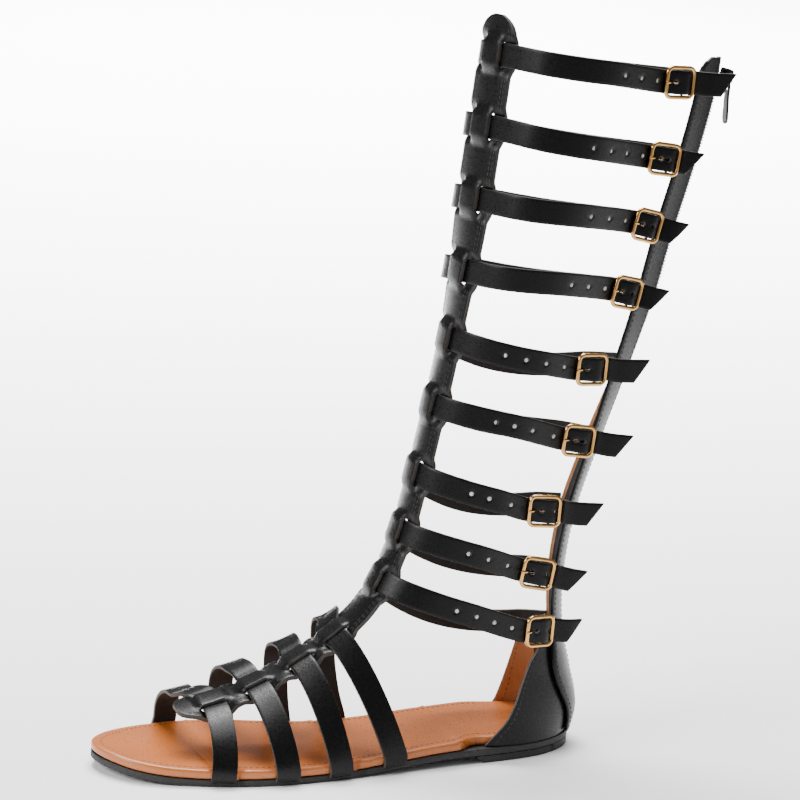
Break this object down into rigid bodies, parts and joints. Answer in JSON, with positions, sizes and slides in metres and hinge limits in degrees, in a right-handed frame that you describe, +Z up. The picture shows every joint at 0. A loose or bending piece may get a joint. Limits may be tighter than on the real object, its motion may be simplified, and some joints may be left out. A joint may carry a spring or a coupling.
{
  "type": "knee-high gladiator sandal",
  "caption": "Flat knee-high strap sandal with a front spine, buckled leg straps, looped foot straps, a closed heel and a back zip.",
  "frame": {"origin": "on the heel's flat ground face, 28 mm in front of the sole's rear end", "axes": "+X to the outer side of the foot, +Y to the heel, +Z up the leg; the toe points along -Y"},
  "size_m": [0.0903, 0.3269, 0.3802],
  "materials": {
    "upper_leather": "smooth satin black leather",
    "outsole_rubber": "matt black rubber",
    "footbed_leather": "glazed tan leather",
    "pale_gold": "polished pale gold plating",
    "zip_metal": "black nickel plating",
    "zip_tape": "woven black polyester tape"
  },
  "bodies": {
    "sandal": {"outsole": "outsole_rubber", "heel": "outsole_rubber", "insole": "footbed_leather", "upper": "upper_leather", "quarter_outer": "upper_leather", "quarter_inner": "upper_leather", "back_strip_outer": "upper_leather", "back_strip_inner": "upper_leather", "buckle_1": "pale_gold", "carrier_1": "upper_leather", "buckle_2": "pale_gold", "carrier_2": "upper_leather", "buckle_3": "pale_gold", "carrier_3": "upper_leather", "buckle_4": "pale_gold", "carrier_4": "upper_leather", "buckle_5": "pale_gold", "carrier_5": "upper_leather", "buckle_6": "pale_gold", "carrier_6": "upper_leather", "buckle_7": "pale_gold", "carrier_7": "upper_leather", "buckle_8": "pale_gold", "carrier_8": "upper_leather", "buckle_9": "pale_gold", "carrier_9": "upper_leather", "zip": "zip_tape", "zip_slider": "zip_metal"},
    "pull": {"zip_pull": "zip_metal"}
  },
  "joints": [
    {"name": "zip_pull_hinge", "type": "hinge", "parent": "sandal", "child": "pull", "pos_m": [0, 0.09739, 0.34694], "axis": [1, 0, 0], "range_deg": [-10, 120]}
  ]
}
